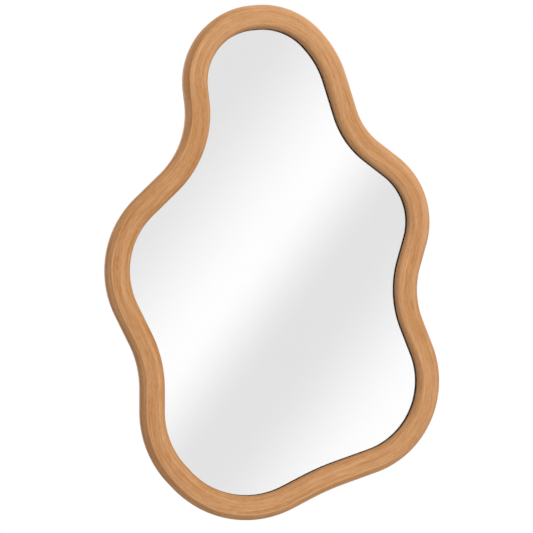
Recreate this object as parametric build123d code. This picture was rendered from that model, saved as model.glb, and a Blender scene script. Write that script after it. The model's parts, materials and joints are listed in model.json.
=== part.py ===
from build123d import *
from math import asin, atan2, cos, degrees, hypot, radians, sin, sqrt
import os

# Wall mirror with a wavy five-lobed wooden frame, in millimetres.
# It is modelled lying on its back: x to the right seen from the front, y up the wall,
# z out of the wall, with the wall at z = 0. The last step stands it up, facing -Y.

# Centreline of the frame, anticlockwise seen from the front: the wood segment's name, the way
# the path turns, and the circle it follows. The circles are joined by their common tangents.
left_turn = 1
right_turn = -1
centreline = [
    ("top", left_turn, -45.5, 231.0, 143.0),
    ("top", left_turn, -16.0, 264.0, 99.0),
    ("top", left_turn, -24.0, 264.5, 97.5),
    ("upper_left", right_turn, -260.5, 217.0, 143.0),
    ("left", left_turn, -106.0, -14.0, 130.0),
    ("lower_left", right_turn, -350.5, -187.0, 166.0),
    ("bottom", left_turn, -48.5, -219.0, 136.0),
    ("bottom", left_turn, -41.0, -227.0, 136.0),
    ("bottom_right", right_turn, 221.5, -695.5, 400.0),
    ("lower_right", left_turn, 111.0, -179.5, 125.0),
    ("right_waist", right_turn, 341.0, -41.5, 140.0),
    ("right", left_turn, 119.0, 61.5, 102.0),
    ("upper_right", right_turn, 214.0, 257.0, 112.0),
]

# Frame section: width across the face, stock thickness, and the gap that the bumpers keep
frame_width = 36.0
frame_thickness = 20.0
wall_gap = 6.0
chamfer_width = 8.0
chamfer_depth = 7.0
inner_round_width = 10.4
inner_round_depth = 7.2
inner_round_radius = 15.0
lip_land = 0.8
back_arris = 0.8

# Rebates cut from the back: one for the glass, a wider and shallow one for the board
lip_width = 8.0
lip_thickness = frame_thickness - inner_round_depth - lip_land
ledge_width = 9.0

# Layers, from the lip to the back
tape_thickness = 1.0
tape_setback = 0.6
glass_thickness = 4.0
silver_thickness = 0.3
board_thickness = 3.0
glass_clearance = 1.5
board_clearance = 0.6
pad_side = 25.0
pad_gap = 0.05

# Dowels, two in each butt joint of the frame
dowel_radius = 3.0
dowel_length = 30.0
dowel_clearance = 0.05
dowel_end_room = 1.0
dowel_offsets = (-3.5, 8.5)
dowel_height = 9.0

# Wood screws: countersunk ones hold the board, pan heads hold the hangers
screw_radius = 1.5
screw_length = 12.0
screw_point = 2.5
screw_tip_radius = 0.3
csk_head_radius = 3.0
csk_head_height = 1.7
pan_head_radius = 3.0
pan_head_height = 2.0
pan_head_rounding = 0.9
recess_width = 0.8
recess_span = 3.4
recess_depth = 1.1
hole_clearance = 0.05

# Board screws stand at these shares of an arc: two on the long arcs, one on the others
long_arc_degrees = 60.0
long_arc_shares = (0.2, 0.8)
short_arc_shares = (0.5,)

# Strap hangers: a strip folded round the straight bar of a wire ring
strap_width = 10.0
strap_sheet = 1.2
strap_length = 33.0
strap_corner = 3.5
strap_holes = (18.5, 27.5)
strap_hole_radius = 1.8
wire_radius = 1.25
ring_running_gap = 0.05
ring_half_width = 7.75
ring_corner = 2.5
ring_leg = 2.0
ring_rest_gap = 0.15
ring_butt_gap = 0.4

# Hangers: height of their bars, offset from the centreline, length from the bar to where the
# strap runs beside the path, and for each one the circle and the side of it where it sits
hanger_height = 298.0
hanger_offset = 6.5
hanger_middle = 15.0
hanger_places = {"left": (2, -1), "right": (0, 1)}

# Rubber bumpers: one behind each lobe, as (circle in the list above, direction in degrees)
bumper_radius = 6.0
bumper_face_radius = 5.2
bumper_offset = 8.5
bumper_places = {
    "top": (2, 92.0),
    "left": (4, 178.0),
    "bottom": (7, 252.0),
    "lower_right": (9, 340.0),
    "right": (11, 14.0),
}

# Levels above the wall that follow from the sizes above
back_level = wall_gap
front_level = wall_gap + frame_thickness
lip_level = wall_gap + lip_thickness
glass_front_level = lip_level - tape_thickness
glass_back_level = glass_front_level - glass_thickness
silver_back_level = glass_back_level - silver_thickness
ledge_level = wall_gap + board_thickness


def touch_points(first, second):
    """Ends of the straight run from one circle to the next, and its direction."""
    _, turn_a, xa, ya, ra = first
    _, turn_b, xb, yb, rb = second
    apart = hypot(xb - xa, yb - ya)
    along = Vector((xb - xa) / apart, (yb - ya) / apart)
    lean = (turn_a * ra - turn_b * rb) / apart
    across = Vector(-along.Y, along.X)
    heading = along * sqrt(1 - lean * lean) + across * lean
    outward = Vector(heading.Y, -heading.X)
    start = Vector(xa, ya) + outward * (turn_a * ra)
    end = Vector(xb, yb) + outward * (turn_b * rb)
    return start, end, heading, outward


count = len(centreline)
runs = [touch_points(centreline[i], centreline[(i + 1) % count]) for i in range(count)]


def arc_angles(i):
    """First direction from circle i's centre to the path, and the angle swept, in degrees."""
    turn = centreline[i][1]
    before = runs[i - 1][3] * turn
    after = runs[i][3] * turn
    first = atan2(before.Y, before.X)
    swept = atan2(before.X * after.Y - before.Y * after.X, before.dot(after))
    return degrees(first), degrees(swept)


def outline(offset, level):
    """Closed face whose edge runs parallel to the centreline, offset outwards."""
    edges = []
    for i in range(count):
        _, turn, x, y, radius = centreline[i]
        first, swept = arc_angles(i)
        start = runs[i - 1][1] + runs[i - 1][3] * offset
        end = runs[i][0] + runs[i][3] * offset
        middle = radians(first + swept / 2)
        size = radius + turn * offset
        between = Vector(x + size * cos(middle), y + size * sin(middle))
        edges.append(ThreePointArc(start, between, end))
        next_start = runs[i][1] + runs[i][3] * offset
        edges.append(Line(end, next_start))
    return Pos(0, 0, level) * make_face(edges)


def slab(offset, low, high):
    """Flat sheet between two levels with the outline at an offset."""
    return extrude(outline(offset, low), amount=high - low)


def frame_section(place, outward):
    """Section of the frame, square to the path at a point on it."""
    half = frame_width / 2
    back = back_level
    front = front_level
    inner = -half + lip_width
    land = inner + ledge_width
    round_start = (-half + inner_round_width, front)
    round_end = (-half, front - inner_round_depth)
    outline_edges = [
        Polyline(
            round_end,
            (-half, lip_level),
            (inner, lip_level),
            (inner, ledge_level),
            (land, ledge_level),
            (land, back),
            (half - back_arris, back),
            (half, back + back_arris),
            (half, front - chamfer_depth),
            (half - chamfer_width, front),
            round_start,
        ),
        RadiusArc(round_start, round_end, -inner_round_radius),
    ]
    section = make_face(outline_edges)
    station = Plane(origin=(place.X, place.Y, 0), x_dir=outward, z_dir=outward.cross(Vector(0, 0, 1)))
    return station * section


def straight_rail(start, end, heading, outward):
    """Length of frame along a straight run."""
    length = (end - start).length
    return extrude(frame_section(start, outward), amount=length, dir=heading)


def bent_rail(i):
    """Length of frame round circle i."""
    _, turn, x, y, _ = centreline[i]
    _, swept = arc_angles(i)
    start, outward = runs[i - 1][1], runs[i - 1][3]
    axis = Axis((x, y, 0), (0, 0, turn))
    return revolve(frame_section(start, outward), axis=axis, revolution_arc=abs(swept))


def joint_place(i):
    """Middle of the run after circle i, where two segments meet."""
    return (runs[i][0] + runs[i][1]) / 2


def dowel_cylinders(i, radius, length):
    """Two cylinders across the joint after circle i."""
    heading, outward = runs[i][2], runs[i][3]
    cylinders = []
    for offset in dowel_offsets:
        place = joint_place(i) + outward * offset
        station = Plane(origin=(place.X, place.Y, back_level + dowel_height), z_dir=heading)
        cylinders.append(station * Cylinder(radius, length))
    return cylinders


def screw(head, grow=0.0, recess=True):
    """Wood screw along +z through a sheet at z = 0: a countersunk head sinks in, a pan head lies on."""
    radius = screw_radius + grow
    straight = screw_length - screw_point
    shank = Pos(0, 0, straight / 2) * Cylinder(radius, straight)
    point = Pos(0, 0, straight + screw_point / 2) * Cone(radius, screw_tip_radius + grow, screw_point)
    if head == "countersunk":
        face = 0.0
        cap = Cone(csk_head_radius + grow, radius, csk_head_height)
        cap = Pos(0, 0, csk_head_height / 2) * cap
    else:
        face = -pan_head_height
        cap = Pos(0, 0, face / 2) * Cylinder(pan_head_radius + grow, pan_head_height)
        cap = fillet(cap.edges().group_by(Axis.Z)[0], pan_head_rounding)
    body = shank + point + cap
    if recess:
        for span_x, span_y in ((recess_span, recess_width), (recess_width, recess_span)):
            body -= Pos(0, 0, face + recess_depth / 2) * Box(span_x, span_y, recess_depth)
    return body


def board_screw_places():
    """Points on the ledge, spread round the lobes and waists and clear of the joints."""
    ledge_middle = -frame_width / 2 + lip_width + ledge_width / 2
    places = []
    for i in range(count):
        _, turn, x, y, radius = centreline[i]
        first, swept = arc_angles(i)
        is_long = turn == left_turn and abs(swept) > long_arc_degrees
        for share in long_arc_shares if is_long else short_arc_shares:
            angle = radians(first + swept * share)
            size = radius + turn * ledge_middle
            places.append(Pos(x + size * cos(angle), y + size * sin(angle), back_level))
    return places


def pad_places():
    """Centres of the lobes and the middles between neighbouring ones."""
    lobes = [c for c in centreline if c[1] == left_turn]
    centres = {name: Vector(x, y) for name, _, x, y, _ in lobes}
    ring = list(centres.values())
    between = [(ring[k] + ring[(k + 1) % len(ring)]) / 2 for k in range(len(ring))]
    return ring + between


def hanger_strap():
    """Folded strip with its eye round the origin's x axis and its leaves running down."""
    eye_inner = wire_radius + ring_running_gap
    eye_outer = eye_inner + strap_sheet
    leaf = Box(strap_width, strap_length, strap_sheet)
    lower = Pos(0, -strap_length / 2, -eye_outer + strap_sheet / 2) * leaf
    upper = Pos(0, 0, strap_sheet) * lower
    eye = Rotation(0, 90, 0) * Cylinder(eye_outer, strap_width)
    strip = lower + upper + eye
    strip -= Rotation(0, 90, 0) * Cylinder(eye_inner, 2 * strap_width)
    far_corners = strip.edges().filter_by(Axis.Z).group_by(Axis.Y)[0]
    strip = fillet(far_corners, strap_corner)
    for down in strap_holes:
        strip -= Pos(0, -down, 0) * Cylinder(strap_hole_radius, 4 * eye_outer)
    return strip


def wire_ring():
    """D-shaped ring of round wire lying flat, its bar on the x axis and its bow towards -y."""
    side = ring_half_width
    corner = ring_corner
    bow_centre = -corner - ring_leg
    bar_end = side - corner
    path = [
        Line((ring_butt_gap / 2, 0), (bar_end, 0)),
        CenterArc((bar_end, -corner), corner, 90, -90),
        Line((side, -corner), (side, bow_centre)),
        CenterArc((0, bow_centre), side, 0, -180),
        Line((-side, bow_centre), (-side, -corner)),
        CenterArc((-bar_end, -corner), corner, 180, -90),
        Line((-bar_end, 0), (-ring_butt_gap / 2, 0)),
    ]
    pieces = []
    for edge in path:
        station = Plane(origin=edge @ 0, z_dir=edge % 0)
        pieces.append(sweep(station * Circle(wire_radius), path=edge))
    return Part() + pieces


def hanger_station(side):
    """Place of a hanger: origin on its bar, x along the bar, y up the strap, turned to suit the wood."""
    circle, facing = hanger_places[side]
    _, _, x, y, radius = centreline[circle]
    to_strap = radius + hanger_offset
    to_bar = hypot(to_strap, hanger_middle)
    climb = asin((hanger_height - y) / to_bar)
    lean = climb - atan2(hanger_middle, to_strap)
    bar = Pos(x + facing * to_bar * cos(climb), hanger_height, back_level - eye_height)
    return bar * Rotation(0, 0, facing * degrees(lean))


def stand_up(shape):
    """Turn the bench position into the hung one: front to -Y, top to +Z."""
    return Rotation(90, 0, 0) * shape


def segment_names():
    """Wood segments in path order, each with its circles."""
    groups = {}
    for i, circle in enumerate(centreline):
        groups.setdefault(circle[0], []).append(i)
    return groups


def frame_segments():
    """Wood segments from the middle of one straight run to the middle of another."""
    segments = {}
    bore_length = dowel_length + 2 * dowel_end_room
    for name, circles in segment_names().items():
        first, last = circles[0], circles[-1]
        _, end, heading, outward = runs[first - 1]
        pieces = [straight_rail(joint_place(first - 1), end, heading, outward)]
        for i in circles:
            pieces.append(bent_rail(i))
            if i != last:
                pieces.append(straight_rail(*runs[i]))
        start, _, heading, outward = runs[last]
        pieces.append(straight_rail(start, joint_place(last), heading, outward))
        wood = Part() + pieces
        for joint in (first - 1, last):
            wood -= dowel_cylinders(joint, dowel_radius + dowel_clearance, bore_length)
        segments["frame_" + name] = wood
    return segments


def touching(first, second):
    """True where the boxes of two shapes meet as seen from the front."""
    a = first.bounding_box()
    b = second.bounding_box()
    meet_across = a.min.X < b.max.X and b.min.X < a.max.X
    meet_upright = a.min.Y < b.max.Y and b.min.Y < a.max.Y
    return meet_across and meet_upright


# A ring's bar stands off the frame by one leaf and the wire, and its bow rests on both leaves
eye_height = strap_sheet + ring_running_gap + wire_radius
rest_rise = 2 * strap_sheet + ring_rest_gap + wire_radius - eye_height
rest_half_width = strap_width / 2 + wire_radius
rest_reach = ring_corner + ring_leg + sqrt(ring_half_width**2 - rest_half_width**2)
rest_tilt = degrees(asin(rest_rise / rest_reach))

parts = frame_segments()

# Screw holes in the wood and the board
board = slab(-frame_width / 2 + lip_width + ledge_width - board_clearance, back_level, ledge_level)
screw_spots = board_screw_places()
board_cutter = screw("countersunk", hole_clearance, recess=False)
board -= [spot * board_cutter for spot in screw_spots]

hanger_screw_spots = []
for side in hanger_places:
    for down in strap_holes:
        on_strap = Pos(0, -down, eye_height - 2 * strap_sheet)
        hanger_screw_spots.append(hanger_station(side) * on_strap)

wood_cutters = [spot * board_cutter for spot in screw_spots]
hanger_cutter = screw("pan", hole_clearance, recess=False)
wood_cutters += [spot * hanger_cutter for spot in hanger_screw_spots]
for name, wood in parts.items():
    near = [cutter for cutter in wood_cutters if touching(cutter, wood)]
    if near:
        parts[name] = wood - near

# One dowel pair at every joint between two differently named segments
dowels = []
for i in range(count):
    if centreline[i][0] != centreline[(i + 1) % count][0]:
        dowels += dowel_cylinders(i, dowel_radius, dowel_length)
parts["joint_dowels"] = Compound(children=dowels)

glass_offset = -frame_width / 2 + lip_width - glass_clearance
parts["mirror_glass"] = slab(glass_offset, glass_back_level, glass_front_level)
parts["silver_backing"] = slab(glass_offset, silver_back_level, glass_back_level)

tape_outer = -frame_width / 2 + lip_width - tape_setback
tape_inner = -frame_width / 2 + tape_setback
tape_opening = slab(tape_inner, glass_front_level, lip_level)
parts["glazing_tape"] = slab(tape_outer, glass_front_level, lip_level) - tape_opening

pad_middle = (silver_back_level + ledge_level) / 2
pad = Box(pad_side, pad_side, silver_back_level - ledge_level - 2 * pad_gap)
parts["foam_pads"] = Compound(children=[Pos(p.X, p.Y, pad_middle) * pad for p in pad_places()])

parts["backing_board"] = board
board_screw = screw("countersunk")
parts["board_screws"] = Compound(children=[spot * board_screw for spot in screw_spots])

# The strap's leaves lie on the frame's back and its eye stands towards the wall
strap = hanger_strap()
ring = Rotation(-rest_tilt, 0, 0) * wire_ring()
turned_over = Rotation(0, 180, 0)
for side in hanger_places:
    parts["hanger_strap_" + side] = hanger_station(side) * turned_over * strap
    parts["hanger_ring_" + side] = hanger_station(side) * turned_over * ring
hanger_screw = screw("pan")
parts["hanger_screws"] = Compound(children=[spot * hanger_screw for spot in hanger_screw_spots])

for name, (i, direction) in bumper_places.items():
    _, _, x, y, radius = centreline[i]
    size = radius + bumper_offset
    angle = radians(direction)
    bumper = Pos(0, 0, wall_gap / 2) * Cone(bumper_face_radius, bumper_radius, wall_gap)
    parts["bumper_" + name] = Pos(x + size * cos(angle), y + size * sin(angle), 0) * bumper

os.makedirs("parts", exist_ok=True)
for name, shape in parts.items():
    export_step(stand_up(shape), os.path.join("parts", name + ".step"))
print(len(parts), "nodes, ring rest tilt", round(rest_tilt, 2), "degrees")
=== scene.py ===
import json
from math import atan2, cos, hypot, pi, radians, sin, sqrt

import bmesh
import bpy
from mathutils import Matrix, Vector


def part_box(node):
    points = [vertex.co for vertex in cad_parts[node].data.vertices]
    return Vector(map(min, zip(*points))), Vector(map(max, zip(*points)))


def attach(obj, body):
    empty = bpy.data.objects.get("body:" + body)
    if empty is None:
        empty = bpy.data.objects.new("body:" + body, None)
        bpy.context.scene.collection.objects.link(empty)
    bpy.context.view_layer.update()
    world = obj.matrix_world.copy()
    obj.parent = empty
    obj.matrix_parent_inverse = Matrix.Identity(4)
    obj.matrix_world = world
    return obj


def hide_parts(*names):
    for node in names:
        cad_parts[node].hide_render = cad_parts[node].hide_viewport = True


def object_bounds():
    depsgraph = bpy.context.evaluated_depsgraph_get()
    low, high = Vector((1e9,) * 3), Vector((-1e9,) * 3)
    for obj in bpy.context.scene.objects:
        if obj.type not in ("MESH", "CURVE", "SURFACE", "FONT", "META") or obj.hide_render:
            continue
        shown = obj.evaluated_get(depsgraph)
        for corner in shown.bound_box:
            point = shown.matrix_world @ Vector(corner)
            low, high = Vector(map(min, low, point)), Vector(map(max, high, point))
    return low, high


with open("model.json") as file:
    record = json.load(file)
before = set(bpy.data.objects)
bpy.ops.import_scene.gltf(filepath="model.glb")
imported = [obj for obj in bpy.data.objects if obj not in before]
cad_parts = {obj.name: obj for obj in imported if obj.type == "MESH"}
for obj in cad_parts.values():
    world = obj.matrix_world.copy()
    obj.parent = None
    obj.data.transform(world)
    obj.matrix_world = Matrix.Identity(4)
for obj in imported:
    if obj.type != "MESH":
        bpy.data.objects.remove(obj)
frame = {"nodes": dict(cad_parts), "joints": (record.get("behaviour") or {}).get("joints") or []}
cadLow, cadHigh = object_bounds()
nodes = frame["nodes"]
print("frame loaded:", len(nodes), "nodes")

mm = 0.001


# Shader helpers

def newMaterial(name):
    material = bpy.data.materials.new(name)
    material.use_nodes = True
    return material, material.node_tree, material.node_tree.nodes["Principled BSDF"]


def setSocket(tree, socket, value):
    if isinstance(value, bpy.types.NodeSocket):
        tree.links.new(value, socket)
    else:
        socket.default_value = value


def addNode(tree, kind, settings=None, **sockets):
    # sockets are named, or i0, i1 ... by their place
    node = tree.nodes.new("ShaderNode" + kind)
    for key, value in (settings or {}).items():
        setattr(node, key, value)
    for key, value in sockets.items():
        numbered = key[0] == "i" and key[1:].isdigit()
        setSocket(tree, node.inputs[int(key[1:]) if numbered else key], value)
    return node


def calc(tree, operation, first, second=0.0, third=0.0):
    return addNode(tree, "Math", {"operation": operation}, i0=first, i1=second, i2=third).outputs[0]


def spread(tree, value, fromLow, fromHigh, toLow=0.0, toHigh=1.0):
    ends = {"From Min": fromLow, "From Max": fromHigh, "To Min": toLow, "To Max": toHigh}
    node = addNode(tree, "MapRange", {"interpolation_type": "SMOOTHSTEP"}, Value=value, **ends)
    return node.outputs["Result"]


def mixColour(tree, share, first, second):
    return addNode(tree, "Mix", {"data_type": "RGBA"}, i0=share, i6=first, i7=second).outputs[2]


def noise(tree, place, scale, detail):
    return addNode(tree, "TexNoise", Vector=place, Scale=scale, Detail=detail).outputs[0]


def objectPlace(tree, stretch=(1, 1, 1)):
    place = addNode(tree, "TexCoord").outputs["Object"]
    return addNode(tree, "Mapping", Vector=place, Scale=stretch).outputs[0]


def addBump(tree, surface, height, strength, distance):
    bump = addNode(tree, "Bump", Strength=strength, Distance=distance, Height=height)
    tree.links.new(bump.outputs[0], surface.inputs["Normal"])


def colour(red, green, blue):
    # a screen colour of 0 to 255 as the shader wants it, by the sRGB formula
    def linear(value):
        share = value / 255
        return share / 12.92 if share <= 0.04045 else ((share + 0.055) / 1.055) ** 2.4
    return (linear(red), linear(green), linear(blue), 1.0)


# Mesh helpers

def newPiece(name, bm, material, body, replaced=None):
    mesh = bpy.data.meshes.new(name)
    bm.to_mesh(mesh)
    bm.free()
    piece = bpy.data.objects.new(name, mesh)
    bpy.context.scene.collection.objects.link(piece)
    mesh.materials.append(material)
    for face in mesh.polygons:
        face.use_smooth = True
    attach(piece, body)
    if replaced:
        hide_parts(replaced)
    return piece


def dress(nodeName, material):
    slots = nodes[nodeName].data.materials
    slots.clear()
    slots.append(material)


def sharpEdges(bm, limit):
    return [edge for edge in bm.edges if edge.calc_face_angle(0.0) > radians(limit)]


def bevelItems(bm, items, size, segments, kind="EDGES"):
    bmesh.ops.bevel(bm, geom=items, offset=size, segments=segments, profile=0.5, affect=kind, material=-1)


def tidyNormals(bm, limit):
    # faces outwards, and edges that turn more than the limit stay crisp under smooth shading
    bmesh.ops.recalc_face_normals(bm, faces=bm.faces)
    for edge in sharpEdges(bm, limit):
        edge.smooth = False


# Paths are moves in the x-z plane: ("line", heading, length) or ("arc", centre, angle, radius)

def moveLength(move):
    return move[2] if move[0] == "line" else abs(move[2]) * move[3]


def moveSteps(move, step):
    return max(1, round(moveLength(move) / step[move[0]]))


def shiftVerts(bm, verts, move, steps):
    if move[0] == "line":
        shift = move[1] * move[2] / steps
        bmesh.ops.translate(bm, verts=verts, vec=(shift.x, 0, shift.y))
    else:
        turn = Matrix.Rotation(-move[2] / steps, 3, "Y")
        bmesh.ops.rotate(bm, verts=verts, cent=(move[1].x, 0, move[1].y), matrix=turn)


def sweepMoves(bm, moves, step, layer=None, along=0.0):
    # grows the one face in bm through the moves; the layer keeps each point's distance along them
    edges = bm.edges[:]
    for move in moves:
        steps = moveSteps(move, step)
        for _ in range(steps):
            made = bmesh.ops.extrude_edge_only(bm, edges=edges)["geom"]
            verts = [item for item in made if isinstance(item, bmesh.types.BMVert)]
            grown = set(verts)
            edges = [item for item in made if isinstance(item, bmesh.types.BMEdge)]
            edges = [edge for edge in edges if set(edge.verts) <= grown]
            shiftVerts(bm, verts, move, steps)
            along += moveLength(move) / steps
            if layer:
                for vert in verts:
                    vert[layer].x = along
    bmesh.ops.edgeloop_fill(bm, edges=edges)


# Wavy path of the frame

wavyPath = {
    # segment, turn seen from the front (1 left, -1 right), circle's centre x and z, radius, in mm
    "circles": [
        ("top", 1, -45.5, 231.0, 143.0),
        ("top", 1, -16.0, 264.0, 99.0),
        ("top", 1, -24.0, 264.5, 97.5),
        ("upper_left", -1, -260.5, 217.0, 143.0),
        ("left", 1, -106.0, -14.0, 130.0),
        ("lower_left", -1, -350.5, -187.0, 166.0),
        ("bottom", 1, -48.5, -219.0, 136.0),
        ("bottom", 1, -41.0, -227.0, 136.0),
        ("bottom_right", -1, 221.5, -695.5, 400.0),
        ("lower_right", 1, 111.0, -179.5, 125.0),
        ("right_waist", -1, 341.0, -41.5, 140.0),
        ("right", 1, 119.0, 61.5, 102.0),
        ("upper_right", -1, 214.0, 257.0, 112.0),
    ],
    "step": {"line": 4.0 * mm, "arc": 4.0 * mm},
}
circles = wavyPath["circles"]
circleCount = len(circles)


def straightRun(first, second):
    # common tangent of two circles: start, end, direction and outward side, as (x, z) in metres
    turnA, xA, zA, rA = first[1:]
    turnB, xB, zB, rB = second[1:]
    apart = hypot(xB - xA, zB - zA)
    along = Vector(((xB - xA) / apart, (zB - zA) / apart))
    lean = (turnA * rA - turnB * rB) / apart
    heading = along * sqrt(1 - lean * lean) + Vector((-along.y, along.x)) * lean
    outward = Vector((heading.y, -heading.x))
    start = (Vector((xA, zA)) + outward * turnA * rA) * mm
    end = (Vector((xB, zB)) + outward * turnB * rB) * mm
    return start, end, heading, outward


runs = [straightRun(circles[i], circles[(i + 1) % circleCount]) for i in range(circleCount)]


def circleMoves(i):
    # the arc round circle i and the straight run after it
    turn, x, z, radius = circles[i][1:]
    before, after = runs[i - 1][3] * turn, runs[i][3] * turn
    angle = atan2(before.x * after.y - before.y * after.x, before.dot(after))
    start, end, heading, outward = runs[i]
    return [("arc", Vector((x, z)) * mm, angle, radius * mm), ("line", heading, (end - start).length)]


def segmentMoves(name):
    # a segment starts and ends in the middle of a straight run
    own = [i for i in range(circleCount) if circles[i][0] == name]
    start, end, heading, outward = runs[own[0] - 1]
    moves = [("line", heading, (end - start).length / 2)]
    for i in own:
        moves += circleMoves(i)
    kind, heading, length = moves[-1]
    moves[-1] = (kind, heading, length / 2)
    return (start + end) / 2, outward, moves


segmentNames = list(dict.fromkeys(circle[0] for circle in circles))
segmentStart = {}
pathLength = 0.0
for name in segmentNames:
    segmentStart[name] = pathLength
    pathLength += sum(moveLength(move) for move in segmentMoves(name)[2])
print("path of", round(pathLength, 3), "m in", len(segmentNames), "segments")


# Wood of the frame

woodLook = {
    "dark": colour(175, 117, 64),
    "light": colour(222, 169, 121),
    "fleck": colour(128, 82, 45),
    # painted highlight: the lighter colour of the line along the ridge
    "ridgeHighlight": colour(232, 184, 134),
    # each grain pattern: size across the wood, length along it, detail, weight, seed
    "band": (12.0 * mm, 420.0 * mm, 1.5, 0.95, 11.3),
    "streak": (5.0 * mm, 170.0 * mm, 2.0, 1.25, 5.1),
    "fibre": (2.3 * mm, 26.0 * mm, 2.0, 1.0, 23.9),
    "speck": (1.1 * mm, 6.0 * mm, 1.0, 0.70, 67.7),
    "pore": (0.55 * mm, 8.0 * mm, 1.0, 0.45, 41.2),
    "balance": 0.53,             # middle tone, from dark to light
    "poreEdge": (0.66, 0.78),    # pore pattern where a pore begins, and where it is full
    "drift": (7.0 * mm, 280.0 * mm, 3.7),  # how far the grain wanders sideways, over what length, seed
    "ridgePlace": 9.1 * mm,      # painted highlight: a lighter line on the face beside the chamfer
    "ridgeWidth": 1.0 * mm,
    "ridgeHighlightShare": 0.30,
    "ridgeDepth": 0.5 * mm,      # the line is only this near the front
    "glossEdge": (0.2, 0.8),     # streak pattern where the roughness starts and stops changing
    "roughness": (0.41, 0.53),
    "specular": 0.28,
    "poreDepth": 1.5,            # bump of a pore and of the fibre, before strength and distance
    "fibreHeight": 0.6,
    "bump": (0.15, 0.2 * mm),
}


def grainNoise(tree, angle, across, depth, size, length, detail, seed):
    # 4D noise on a ring, so that the pattern closes on itself at the end of the path
    ring = pathLength / (2 * pi * length)
    ringX = calc(tree, "MULTIPLY", calc(tree, "COSINE", angle), ring)
    ringY = calc(tree, "MULTIPLY", calc(tree, "SINE", angle), ring)
    side = calc(tree, "MULTIPLY_ADD", across, 1 / size, seed)
    deep = calc(tree, "MULTIPLY_ADD", depth, 1 / size, seed)
    place = addNode(tree, "CombineXYZ", X=ringX, Y=ringY, Z=side).outputs[0]
    settings = {"noise_dimensions": "4D"}
    return addNode(tree, "TexNoise", settings, Vector=place, W=deep, Scale=1.0, Detail=detail).outputs[0]


def makeWood():
    look = woodLook
    material, tree, surface = newMaterial("oiledWood")
    grain = addNode(tree, "Attribute", {"attribute_name": "grain"})
    along, offset, depth = addNode(tree, "SeparateXYZ", Vector=grain.outputs["Vector"]).outputs
    angle = calc(tree, "MULTIPLY", along, 2 * pi / pathLength)

    reach, length, seed = look["drift"]
    wander = grainNoise(tree, angle, 0.0, 0.0, 1.0, length, 1.0, seed)
    shift = calc(tree, "MULTIPLY", calc(tree, "SUBTRACT", wander, 0.5), 2 * reach)
    across = calc(tree, "ADD", offset, shift)

    tone = look["balance"]
    patterns = {}
    for name in ("band", "streak", "fibre", "speck", "pore"):
        size, length, detail, weight, seed = look[name]
        patterns[name] = grainNoise(tree, angle, across, depth, size, length, detail, seed)
        if name != "pore":
            part = calc(tree, "MULTIPLY", calc(tree, "SUBTRACT", patterns[name], 0.5), weight)
            tone = calc(tree, "ADD", tone, part)
    paint = mixColour(tree, tone, look["dark"], look["light"])
    poreWeight = look["pore"][3]
    poreShare = calc(tree, "MULTIPLY", spread(tree, patterns["pore"], *look["poreEdge"]), poreWeight)
    paint = mixColour(tree, poreShare, paint, look["fleck"])

    # a painted highlight: a lighter line along the ridge between the face and the chamfer
    beside = calc(tree, "ABSOLUTE", calc(tree, "SUBTRACT", offset, look["ridgePlace"]))
    paintedHighlight = spread(tree, beside, 0.0, look["ridgeWidth"], look["ridgeHighlightShare"], 0.0)
    isFront = calc(tree, "GREATER_THAN", depth, frameRail["front"] - look["ridgeDepth"])
    paint = mixColour(tree, calc(tree, "MULTIPLY", paintedHighlight, isFront), paint, look["ridgeHighlight"])
    tree.links.new(paint, surface.inputs["Base Color"])

    rough = spread(tree, patterns["streak"], *look["glossEdge"], *look["roughness"])
    tree.links.new(rough, surface.inputs["Roughness"])
    surface.inputs["Specular IOR Level"].default_value = look["specular"]
    fibres = calc(tree, "MULTIPLY", patterns["fibre"], look["fibreHeight"])
    addBump(tree, surface, calc(tree, "MULTIPLY_ADD", poreShare, -look["poreDepth"], fibres), *look["bump"])
    return material


frameRail = {
    "halfWidth": 18.0 * mm,
    "back": 6.0 * mm,            # levels above the wall
    "ledge": 9.0 * mm,
    "lip": 18.0 * mm,
    "front": 26.0 * mm,
    "lipWidth": 8.0 * mm,
    "ledgeWidth": 9.0 * mm,
    "backArris": 0.8 * mm,
    "chamferWidth": 8.0 * mm,
    "chamferDepth": 7.0 * mm,
    "innerRoundWidth": 10.4 * mm,
    "innerRoundDepth": 7.2 * mm,
    "innerRoundRadius": 15.0 * mm,
    "innerRoundSteps": 10,
    "outerEase": 1.0 * mm,       # rounding between the side wall and the chamfer
    "ridgeEase": 0.9 * mm,       # rounding between the chamfer and the face
    "lipEase": 0.35 * mm,
    "easeSteps": 4,
    "crispAngle": 35,
}


def railSection():
    # (offset from the centreline, height above the wall, rounding) round the section
    rail = frameRail
    half, back, front = rail["halfWidth"], rail["back"], rail["front"]
    inner = -half + rail["lipWidth"]
    land = inner + rail["ledgeWidth"]
    arris = rail["backArris"]
    points = [
        (-half, rail["lip"], rail["lipEase"]),
        (inner, rail["lip"], 0),
        (inner, rail["ledge"], 0),
        (land, rail["ledge"], 0),
        (land, back, 0),
        (half - arris, back, 0),
        (half, back + arris, 0),
        (half, front - rail["chamferDepth"], rail["outerEase"]),
        (half - rail["chamferWidth"], front, rail["ridgeEase"]),
    ]
    # the inner round: an arc through its two ends, bulging outwards
    start = Vector((-half + rail["innerRoundWidth"], front))
    end = Vector((-half, front - rail["innerRoundDepth"]))
    radius = rail["innerRoundRadius"]
    chord = end - start
    rise = sqrt(radius * radius - chord.length_squared / 4)
    centre = (start + end) / 2 + Vector((-chord.y, chord.x)).normalized() * rise
    steps = rail["innerRoundSteps"]
    sweep = (start - centre).angle(end - centre)
    first = atan2(start.y - centre.y, start.x - centre.x)
    for k in range(steps + 1):
        turn = first + sweep * k / steps
        points.append((centre.x + radius * cos(turn), centre.y + radius * sin(turn), 0))
    return points


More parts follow.
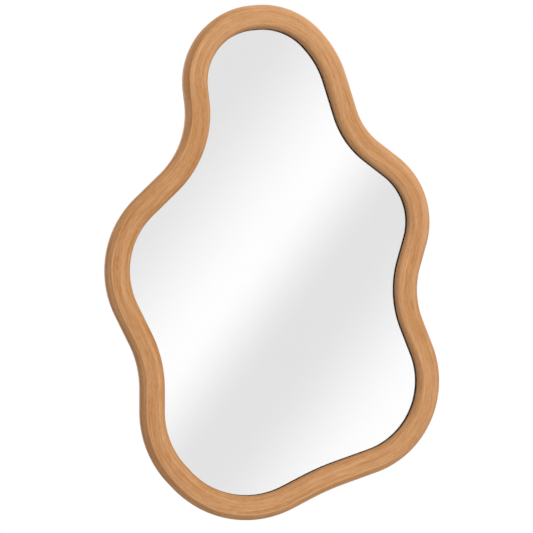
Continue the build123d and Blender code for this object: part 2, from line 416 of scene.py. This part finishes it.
def makeRail(name):
    middle, outward, moves = segmentMoves(name)
    bm = bmesh.new()
    layer = bm.verts.layers.float_vector.new("grain")
    rounding = {}
    ring = []
    for offset, height, ease in railSection():
        place = middle + outward * offset
        vert = bm.verts.new((place.x, -height, place.y))
        ring.append(vert)
        if ease:
            rounding.setdefault(ease, []).append(vert)
    bm.faces.new(ring)
    steps = frameRail["easeSteps"]
    for ease, corners in rounding.items():
        bevelItems(bm, corners, ease, steps, "VERTICES")
    for vert in bm.verts:
        offset = Vector((vert.co.x, vert.co.z)) - middle
        vert[layer] = (segmentStart[name], offset.dot(outward), -vert.co.y)
    sweepMoves(bm, moves, wavyPath["step"], layer, segmentStart[name])
    tidyNormals(bm, frameRail["crispAngle"])
    piece = newPiece("wood_" + name, bm, wood, "mirror", "frame_" + name)
    piece.modifiers.new("evenShading", "WEIGHTED_NORMAL").keep_sharp = True


wood = makeWood()
for name in segmentNames:
    makeRail(name)
print("wood frame made")


# Glass, silver and tape

mirrorLook = {
    # tints are two linear colours that the clouds mix; clouds are patches per metre and detail
    "glassTint": ((0.989, 0.990, 0.989, 1), (0.994, 0.994, 0.993, 1)),
    "glassClouds": (9.0, 1.0),
    "glassIor": 1.5,
    "silverTint": ((0.970, 0.971, 0.971, 1), (0.984, 0.984, 0.983, 1)),
    "silverClouds": (6.0, 2.0),
}


def makeGlass():
    material, tree, surface = newMaterial("clearGlass")
    clouds = noise(tree, objectPlace(tree), *mirrorLook["glassClouds"])
    tree.links.new(mixColour(tree, clouds, *mirrorLook["glassTint"]), surface.inputs["Base Color"])
    surface.inputs["Roughness"].default_value = 0.0
    surface.inputs["IOR"].default_value = mirrorLook["glassIor"]
    surface.inputs["Transmission Weight"].default_value = 1.0
    return material


def makeSilver():
    material, tree, surface = newMaterial("silveredFace")
    clouds = noise(tree, objectPlace(tree), *mirrorLook["silverClouds"])
    tree.links.new(mixColour(tree, clouds, *mirrorLook["silverTint"]), surface.inputs["Base Color"])
    surface.inputs["Metallic"].default_value = 1.0
    surface.inputs["Roughness"].default_value = 0.0
    return material


foamLook = {
    # name: linear dark and light tone, cells per metre
    # black foam tape, whose dark brown tone is also painted shade for the gap under the wood's lip
    "blackFoamAndGapShade": ((0.011, 0.007, 0.004, 1), (0.028, 0.018, 0.010, 1), 2500.0),
    "greyFoam": ((0.16, 0.16, 0.17, 1), (0.30, 0.30, 0.31, 1), 1400.0),
    "roughness": 0.9,
    "specular": 0.2,
    "bump": (0.5, 0.2 * mm),
}


def makeFoam(name):
    dark, light, cells = foamLook[name]
    material, tree, surface = newMaterial(name)
    bubbles = addNode(tree, "TexVoronoi", Vector=objectPlace(tree), Scale=cells).outputs["Distance"]
    tree.links.new(mixColour(tree, bubbles, dark, light), surface.inputs["Base Color"])
    surface.inputs["Roughness"].default_value = foamLook["roughness"]
    surface.inputs["Specular IOR Level"].default_value = foamLook["specular"]
    addBump(tree, surface, bubbles, *foamLook["bump"])
    return material


glassSheet = {
    "offset": -11.5 * mm,        # edge from the centreline of the wood
    "low": 13.03 * mm,           # levels above the wall, a hair clear of the silver
    "high": 17.0 * mm,
    "arris": 0.4 * mm,
    "rimAngle": 60,
    "crispAngle": 30,
}


def outlineFace(offset, level):
    # a point walks along the path at an offset and leaves the edge of a face behind it
    bm = bmesh.new()
    place = runs[-1][1] + runs[-1][3] * offset
    first = last = bm.verts.new((place.x, -level, place.y))
    for i in range(circleCount):
        for move in circleMoves(i):
            steps = moveSteps(move, wavyPath["step"])
            for _ in range(steps):
                last = bmesh.ops.extrude_vert_indiv(bm, verts=[last])["verts"][0]
                shiftVerts(bm, [last], move, steps)
    bmesh.ops.pointmerge(bm, verts=[last, first], merge_co=first.co)
    bmesh.ops.contextual_create(bm, geom=bm.edges[:])
    return bm


def makeGlassSheet():
    sheet = glassSheet
    bm = outlineFace(sheet["offset"], sheet["low"])
    made = bmesh.ops.extrude_face_region(bm, geom=bm.faces[:])["geom"]
    raised = [item for item in made if isinstance(item, bmesh.types.BMVert)]
    bmesh.ops.translate(bm, verts=raised, vec=(0, sheet["low"] - sheet["high"], 0))
    bmesh.ops.recalc_face_normals(bm, faces=bm.faces)
    bevelItems(bm, sharpEdges(bm, sheet["rimAngle"]), sheet["arris"], 1)
    tidyNormals(bm, sheet["crispAngle"])
    newPiece("glass_sheet", bm, makeGlass(), "mirror", "mirror_glass")


makeGlassSheet()
dress("silver_backing", makeSilver())
dress("glazing_tape", makeFoam("blackFoamAndGapShade"))
dress("foam_pads", makeFoam("greyFoam"))
print("glass, silver and foam finished")


# Backing board and dowels

boardLook = {
    "dark": colour(112, 78, 50),
    "light": colour(152, 112, 76),
    "fibres": (900.0, 4.0),      # patches per metre and detail
    "clouds": (22.0, 3.0),
    "chips": 300.0,
    "cloudShare": 0.4,
    "toneEdge": (0.36, 0.64),    # mixed pattern where the tone is dark, and where it is light
    "chipSize": 0.25,
    "chipShade": 0.25,
    "stretch": (0.35, 1.0, 1.0),  # the fibres lie a little along the board
    "roughness": 0.62,
    "specular": 0.35,
    "bump": (0.25, 0.15 * mm),
}


def makeHardboard():
    look = boardLook
    material, tree, surface = newMaterial("hardboard")
    place = objectPlace(tree, look["stretch"])
    fibres = noise(tree, place, *look["fibres"])
    clouds = noise(tree, place, *look["clouds"])
    chips = addNode(tree, "TexVoronoi", Vector=place, Scale=look["chips"]).outputs["Distance"]
    cloudPart = calc(tree, "MULTIPLY", clouds, look["cloudShare"])
    pattern = calc(tree, "MULTIPLY_ADD", fibres, 1 - look["cloudShare"], cloudPart)
    paint = mixColour(tree, spread(tree, pattern, *look["toneEdge"]), look["dark"], look["light"])
    chipShare = spread(tree, chips, 0.0, look["chipSize"], look["chipShade"], 0.0)
    paint = mixColour(tree, chipShare, paint, look["dark"])
    tree.links.new(paint, surface.inputs["Base Color"])
    surface.inputs["Roughness"].default_value = look["roughness"]
    surface.inputs["Specular IOR Level"].default_value = look["specular"]
    addBump(tree, surface, fibres, *look["bump"])
    return material


dowelLook = {
    "dark": colour(196, 160, 120),
    "light": colour(222, 190, 150),
    "grain": (700.0, 3.0),       # lines per metre and detail
    "stretch": (1.0, 1.0, 0.15),
    "roughness": 0.6,
    "bump": (0.2, 0.1 * mm),
}


def makeDowelWood():
    material, tree, surface = newMaterial("beechDowel")
    grain = noise(tree, objectPlace(tree, dowelLook["stretch"]), *dowelLook["grain"])
    paint = mixColour(tree, grain, dowelLook["dark"], dowelLook["light"])
    tree.links.new(paint, surface.inputs["Base Color"])
    surface.inputs["Roughness"].default_value = dowelLook["roughness"]
    addBump(tree, surface, grain, *dowelLook["bump"])
    return material


dress("backing_board", makeHardboard())
dress("joint_dowels", makeDowelWood())
print("board and dowels finished")


# Screws, hangers and rings

steelLook = {
    # name: dark tone, light tone, roughness, spots per metre
    "zincPlate": (colour(150, 152, 156), colour(196, 198, 202), 0.38, 900.0),
    "rolledSteel": (colour(158, 156, 150), colour(204, 202, 196), 0.34, 500.0),
    "drawnWire": (colour(170, 170, 170), colour(212, 212, 210), 0.26, 1200.0),
}
steelGrit = {
    "stains": (0.25, 3.0),       # times the spots per metre, and detail
    "grit": (3.0, 2.0),
    "toneEdge": (0.35, 0.65),    # stain pattern where the tone, or the gloss, starts and stops changing
    "glossEdge": (0.3, 0.7),
    "dull": 0.10,                # added to the roughness where the tone is dark
    "shine": 0.04,               # taken off it where the tone is light
    "bump": (0.12, 0.05 * mm),
}


def makeSteel(name):
    dark, light, roughness, spots = steelLook[name]
    material, tree, surface = newMaterial(name)
    place = objectPlace(tree)
    stainShare, stainDetail = steelGrit["stains"]
    gritShare, gritDetail = steelGrit["grit"]
    stains = noise(tree, place, spots * stainShare, stainDetail)
    grit = noise(tree, place, spots * gritShare, gritDetail)
    paint = mixColour(tree, spread(tree, stains, *steelGrit["toneEdge"]), dark, light)
    dull, shiny = roughness + steelGrit["dull"], roughness - steelGrit["shine"]
    rough = spread(tree, stains, *steelGrit["glossEdge"], dull, shiny)
    tree.links.new(paint, surface.inputs["Base Color"])
    tree.links.new(rough, surface.inputs["Roughness"])
    surface.inputs["Metallic"].default_value = 1.0
    addBump(tree, surface, grit, *steelGrit["bump"])
    return material


hangerStrap = {
    "width": 10.0 * mm,
    "sheet": 1.2 * mm,
    "length": 33.0 * mm,         # from the bar down to the far end
    "cornerRadius": 3.5 * mm,
    "cornerSteps": 8,
    "eyeRadius": 1.9 * mm,       # middle of the sheet round the wire
    "returnRadius": 0.9 * mm,    # bend that lays the upper leaf on the lower one
    "arris": 0.2 * mm,
    "arrisSteps": 2,
    "rimAngle": 60,
    "crispAngle": 40,
    "step": {"line": 50.0 * mm, "arc": 0.4 * mm},
    "close": 0.1 * mm,           # points this near each other count as one place
}


def hangerMatrix(joint):
    # bench of a hanger: x along the bar, y up the strap, z towards the wall, origin on the bar
    toWall = Vector((0, 1, 0))
    along = -Vector(joint["axis"]).normalized()
    matrix = Matrix((along, toWall.cross(along), toWall)).transposed().to_4x4()
    matrix.translation = joint["pos_m"]
    return matrix


def strapMoves():
    # up the lower leaf, round the eye, and back down the upper leaf
    strap = hangerStrap
    eye, bend, sheet = strap["eyeRadius"], strap["returnRadius"], strap["sheet"]
    upperLeaf = sheet - eye
    turnBack = Vector((-sqrt((eye + bend) ** 2 - (upperLeaf + bend) ** 2), upperLeaf + bend))
    contact = atan2(turnBack.y, turnBack.x)
    return [
        ("line", Vector((1, 0)), strap["length"]),
        ("arc", Vector((0, 0)), contact + pi / 2, eye),
        ("arc", turnBack, pi / 2 - contact, bend),
        ("line", Vector((-1, 0)), strap["length"] + turnBack.x),
    ]


def makeStrap(hand, place, material):
    strap = hangerStrap
    bm = bmesh.new()
    start = Vector((-strap["length"], 0, -strap["eyeRadius"]))
    side, up = Vector((0, strap["width"] / 2, 0)), Vector((0, 0, strap["sheet"] / 2))
    corners = (start - side - up, start + side - up, start + side + up, start - side + up)
    bm.faces.new([bm.verts.new(corner) for corner in corners])
    sweepMoves(bm, strapMoves(), strap["step"])
    bmesh.ops.recalc_face_normals(bm, faces=bm.faces)

    def isFarCorner(edge):
        first, second = edge.verts
        isEnd = max(first.co.x, second.co.x) < start.x + strap["close"]
        return isEnd and abs(first.co.y - second.co.y) < strap["close"]
    farCorners = [edge for edge in bm.edges if isFarCorner(edge)]
    bevelItems(bm, farCorners, strap["cornerRadius"], strap["cornerSteps"])
    bevelItems(bm, sharpEdges(bm, strap["rimAngle"]), strap["arris"], strap["arrisSteps"])
    tidyNormals(bm, strap["crispAngle"])
    sideways = Matrix(((0, -1, 0), (1, 0, 0), (0, 0, 1))).to_4x4()
    bmesh.ops.transform(bm, matrix=place @ sideways, verts=bm.verts)
    newPiece("strap_" + hand, bm, material, "mirror", "hanger_strap_" + hand)


wireRing = {
    "wireRadius": 1.25 * mm,
    "halfWidth": 7.75 * mm,
    "corner": 2.5 * mm,
    "leg": 2.0 * mm,
    "buttGap": 0.4 * mm,         # the wire's ends meet inside the eye
    "restTilt": 8.229,           # degrees, lying on the strap
    "sides": 20,
    "arris": 0.25 * mm,
    "arrisSteps": 2,
    "crispAngle": 60,
    "step": {"line": 3.0 * mm, "arc": 0.6 * mm},
}


def ringMoves():
    ring = wireRing
    side, corner = ring["halfWidth"], ring["corner"]
    barEnd = side - corner
    halfBar = barEnd - ring["buttGap"] / 2
    bow = -corner - ring["leg"]
    return [
        ("line", Vector((1, 0)), halfBar),
        ("arc", Vector((barEnd, -corner)), -pi / 2, corner),
        ("line", Vector((0, -1)), ring["leg"]),
        ("arc", Vector((0, bow)), -pi, side),
        ("line", Vector((0, 1)), ring["leg"]),
        ("arc", Vector((-barEnd, -corner)), -pi / 2, corner),
        ("line", Vector((1, 0)), halfBar),
    ]


def makeRing(hand, place, material):
    ring = wireRing
    bm = bmesh.new()
    bmesh.ops.create_circle(bm, cap_ends=True, segments=ring["sides"], radius=ring["wireRadius"])
    bmesh.ops.rotate(bm, verts=bm.verts, matrix=Matrix.Rotation(pi / 2, 3, "Y"))
    bmesh.ops.translate(bm, verts=bm.verts, vec=(ring["buttGap"] / 2, 0, 0))
    sweepMoves(bm, ringMoves(), ring["step"])
    bmesh.ops.recalc_face_normals(bm, faces=bm.faces)
    bevelItems(bm, sharpEdges(bm, ring["crispAngle"]), ring["arris"], ring["arrisSteps"])
    tidyNormals(bm, ring["crispAngle"])
    upright = Matrix(((1, 0, 0), (0, 0, 1), (0, -1, 0))).to_4x4()
    tilt = Matrix.Rotation(-radians(ring["restTilt"]), 4, "X")
    bmesh.ops.transform(bm, matrix=place @ tilt @ upright, verts=bm.verts)
    newPiece("ring_wire_" + hand, bm, material, "ring_" + hand, "hanger_ring_" + hand)


zincPlate, rolledSteel, drawnWire = (makeSteel(name) for name in steelLook)
for joint in frame["joints"]:
    hand = joint["name"].split("_")[0]  # left or right
    place = hangerMatrix(joint)
    makeStrap(hand, place, rolledSteel)
    makeRing(hand, place, drawnWire)
dress("board_screws", zincPlate)
dress("hanger_screws", zincPlate)
print("screws, straps and rings made")


# Bumpers

bumper = {
    "wallRounding": 0.7 * mm,
    "woodRounding": 0.15 * mm,
    "flatRing": 1.5 * mm,        # flat ring round the dish, rounding included
    "dishWall": 0.5 * mm,
    "dishDepth": 0.25 * mm,
    "wallRadius": 5.2 * mm,
    "woodRadius": 6.0 * mm,
    "sides": 48,
    "roundingSteps": 4,
    "rimAngle": 50,
    "close": 0.01 * mm,          # points this near a level are on it
}
rubberLook = {
    "dark": colour(44, 44, 45),
    "light": colour(62, 61, 60),
    "grit": (2200.0, 3.0),       # grains per metre and detail
    "haze": (120.0, 2.0),
    "glossEdge": (0.3, 0.7),     # haze pattern where the roughness starts and stops changing
    "roughness": (0.55, 0.75),
    "bump": (0.25, 0.08 * mm),
}


def makeRubber():
    material, tree, surface = newMaterial("bumperRubber")
    place = objectPlace(tree)
    grit = noise(tree, place, *rubberLook["grit"])
    haze = noise(tree, place, *rubberLook["haze"])
    paint = mixColour(tree, haze, rubberLook["dark"], rubberLook["light"])
    tree.links.new(paint, surface.inputs["Base Color"])
    rough = spread(tree, haze, *rubberLook["glossEdge"], *rubberLook["roughness"])
    tree.links.new(rough, surface.inputs["Roughness"])
    addBump(tree, surface, grit, *rubberLook["bump"])
    return material


def makeBumper(name, material):
    low, high = (Vector(corner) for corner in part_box(name))
    middle = (low + high) / 2
    height = high.y - low.y
    bm = bmesh.new()
    bmesh.ops.create_cone(bm, cap_ends=True, segments=bumper["sides"], radius1=bumper["woodRadius"],
                          radius2=bumper["wallRadius"], depth=height)
    top = max(bm.faces, key=lambda face: face.calc_center_median().z)
    for width in (bumper["flatRing"], bumper["dishWall"]):
        bmesh.ops.inset_region(bm, faces=[top], thickness=width)
    bmesh.ops.translate(bm, verts=top.verts, vec=(0, 0, -bumper["dishDepth"]))
    for level, size in ((height / 2, bumper["wallRounding"]), (-height / 2, bumper["woodRounding"])):
        rim = sharpEdges(bm, bumper["rimAngle"])
        rim = [edge for edge in rim if abs(edge.verts[0].co.z - level) < bumper["close"]]
        bevelItems(bm, rim, size, bumper["roundingSteps"])
    tidyNormals(bm, bumper["rimAngle"])
    bmesh.ops.rotate(bm, verts=bm.verts, matrix=Matrix.Rotation(-pi / 2, 3, "X"))
    bmesh.ops.translate(bm, verts=bm.verts, vec=middle)
    newPiece(name.replace("bumper", "foot"), bm, material, "mirror", name)


rubber = makeRubber()
for name in sorted(nodes):
    if name.startswith("bumper_"):
        makeBumper(name, rubber)
print("bumpers made")


# Studio: world, lamps, floor and camera

studio = {
    "ambient": 0.36,
    "ambientTilt": (0.02, 0.0, 0.04),
    "ambientColour": (1, 0.985, 0.97, 1),
    "bandDirection": (0.780, 0.171, -0.602),  # across the soft bands that the mirror shows
    "bandLow": -0.110,
    "bandHigh": 0.118,
    "bandGrey": {"dim": 227, "bright": 254},
    # place from bandLow to bandHigh, and which grey is there
    "bandStops": [(0.10, "dim"), (0.44, "bright"), (0.64, "dim"), (0.69, "dim"), (1.0, "bright")],
    "mirrorLoss": 0.96,                        # share of the light that comes back through the glass
    "floorDrop": 0.16,                         # below the lowest point of the mirror
    "floorHalfSize": 3.0,
    "floorColour": (0.93, 0.93, 0.93, 1),
    "floorGlow": 0.42,                         # brings the lit floor up to white
    "floorFade": (0.35, 0.85),                 # metres from the middle where it fades into the backdrop
    # each lamp: place, watts, diameter
    "lamps": {
        "key": ((4.26, -8.36, 2.96), 725.0, 4.4),
        "backFill": ((-1.2, 1.9, 1.0), 45.0, 1.8),
    },
    "cameraPlace": (-0.5553, -2.3603, -0.0439),
    "cameraTarget": (-0.0129, -0.0111, -0.0072),
    "lens": 109.72,                            # lens and sensor in mm
    "sensor": 36.0,
    "farthest": 50.0,
}


def makeWorld():
    world = bpy.data.worlds.new("studio")
    bpy.context.scene.world = world
    world.use_nodes = True
    tree = world.node_tree
    tree.nodes.clear()
    direction = addNode(tree, "TexCoord").outputs["Generated"]
    dot = {"operation": "DOT_PRODUCT"}
    tilt = addNode(tree, "VectorMath", dot, i0=direction, i1=studio["ambientTilt"]).outputs["Value"]
    level = calc(tree, "ADD", tilt, studio["ambient"])
    soft = addNode(tree, "Background", Color=studio["ambientColour"], Strength=level).outputs[0]

    across = addNode(tree, "VectorMath", dot, i0=direction, i1=studio["bandDirection"]).outputs["Value"]
    span = studio["bandHigh"] - studio["bandLow"]
    share = calc(tree, "DIVIDE", calc(tree, "SUBTRACT", across, studio["bandLow"]), span)
    ramp = addNode(tree, "ValToRGB", Fac=calc(tree, "PINGPONG", share, 1.0))
    ramp.color_ramp.interpolation = "EASE"
    stops = ramp.color_ramp.elements
    while len(stops) < len(studio["bandStops"]):
        stops.new(0.5)
    for stop, (place, level) in zip(stops, studio["bandStops"]):
        grey = studio["bandGrey"][level]
        stop.position = place
        stop.color = colour(grey, grey, grey)
    brightness = 1 / studio["mirrorLoss"]
    bands = addNode(tree, "Background", Color=ramp.outputs[0], Strength=brightness).outputs[0]
    white = addNode(tree, "Background", Color=(1, 1, 1, 1), Strength=1.0).outputs[0]

    # mirror and metal see the bands, the camera sees white, and the matt wood gets the soft light only
    rays = addNode(tree, "LightPath").outputs
    shiny = calc(tree, "MAXIMUM", rays["Is Glossy Ray"], rays["Is Transmission Ray"])
    shiny = calc(tree, "MULTIPLY", shiny, calc(tree, "LESS_THAN", rays["Diffuse Depth"], 0.5))
    mixed = addNode(tree, "MixShader", i0=shiny, i1=soft, i2=bands).outputs[0]
    mixed = addNode(tree, "MixShader", i0=rays["Is Camera Ray"], i1=mixed, i2=white).outputs[0]
    output = addNode(tree, "OutputWorld")
    tree.links.new(mixed, output.inputs["Surface"])


def addLamp(name):
    place, watts, diameter = studio["lamps"][name]
    lamp = bpy.data.lights.new(name, "AREA")
    lamp.shape = "DISK"
    lamp.size = diameter
    lamp.energy = watts
    holder = bpy.data.objects.new(name, lamp)
    holder.location = place
    holder.rotation_euler = (-Vector(place)).to_track_quat("-Z", "Y").to_euler()
    holder.visible_glossy = False
    holder.visible_transmission = False
    bpy.context.scene.collection.objects.link(holder)


def makeFloor():
    material, tree, surface = newMaterial("paleFloor")
    tree.nodes.remove(surface)
    place = addNode(tree, "TexCoord").outputs["Object"]
    away = addNode(tree, "VectorMath", {"operation": "LENGTH"}, i0=place).outputs["Value"]
    fade = spread(tree, away, *studio["floorFade"])
    notCamera = calc(tree, "SUBTRACT", 1.0, addNode(tree, "LightPath").outputs["Is Camera Ray"])
    clear = calc(tree, "MAXIMUM", fade, notCamera)
    matt = addNode(tree, "BsdfDiffuse", Color=studio["floorColour"]).outputs[0]
    glow = addNode(tree, "Emission", Color=(1, 1, 1, 1), Strength=studio["floorGlow"]).outputs[0]
    lit = addNode(tree, "AddShader", i0=matt, i1=glow).outputs[0]
    through = addNode(tree, "BsdfTransparent").outputs[0]
    mixed = addNode(tree, "MixShader", i0=clear, i1=lit, i2=through).outputs[0]
    tree.links.new(mixed, tree.nodes["Material Output"].inputs["Surface"])
    bm = bmesh.new()
    bmesh.ops.create_grid(bm, x_segments=1, y_segments=1, size=studio["floorHalfSize"])
    bmesh.ops.translate(bm, verts=bm.verts, vec=(0, 0, cadLow[2] - studio["floorDrop"]))
    mesh = bpy.data.meshes.new("floor")
    bm.to_mesh(mesh)
    bm.free()
    floor = bpy.data.objects.new("floor", mesh)
    mesh.materials.append(material)
    bpy.context.scene.collection.objects.link(floor)


def makeCamera():
    camera = bpy.data.cameras.new("photoCamera")
    camera.lens = studio["lens"]
    camera.sensor_width = studio["sensor"]
    camera.clip_end = studio["farthest"]
    holder = bpy.data.objects.new("photoCamera", camera)
    holder.location = studio["cameraPlace"]
    view = Vector(studio["cameraTarget"]) - holder.location
    holder.rotation_euler = view.to_track_quat("-Z", "Y").to_euler()
    bpy.context.scene.collection.objects.link(holder)
    bpy.context.scene.camera = holder


makeWorld()
for name in studio["lamps"]:
    addLamp(name)
makeFloor()
makeCamera()
bpy.context.scene.view_settings.view_transform = "Standard"
print("studio made")
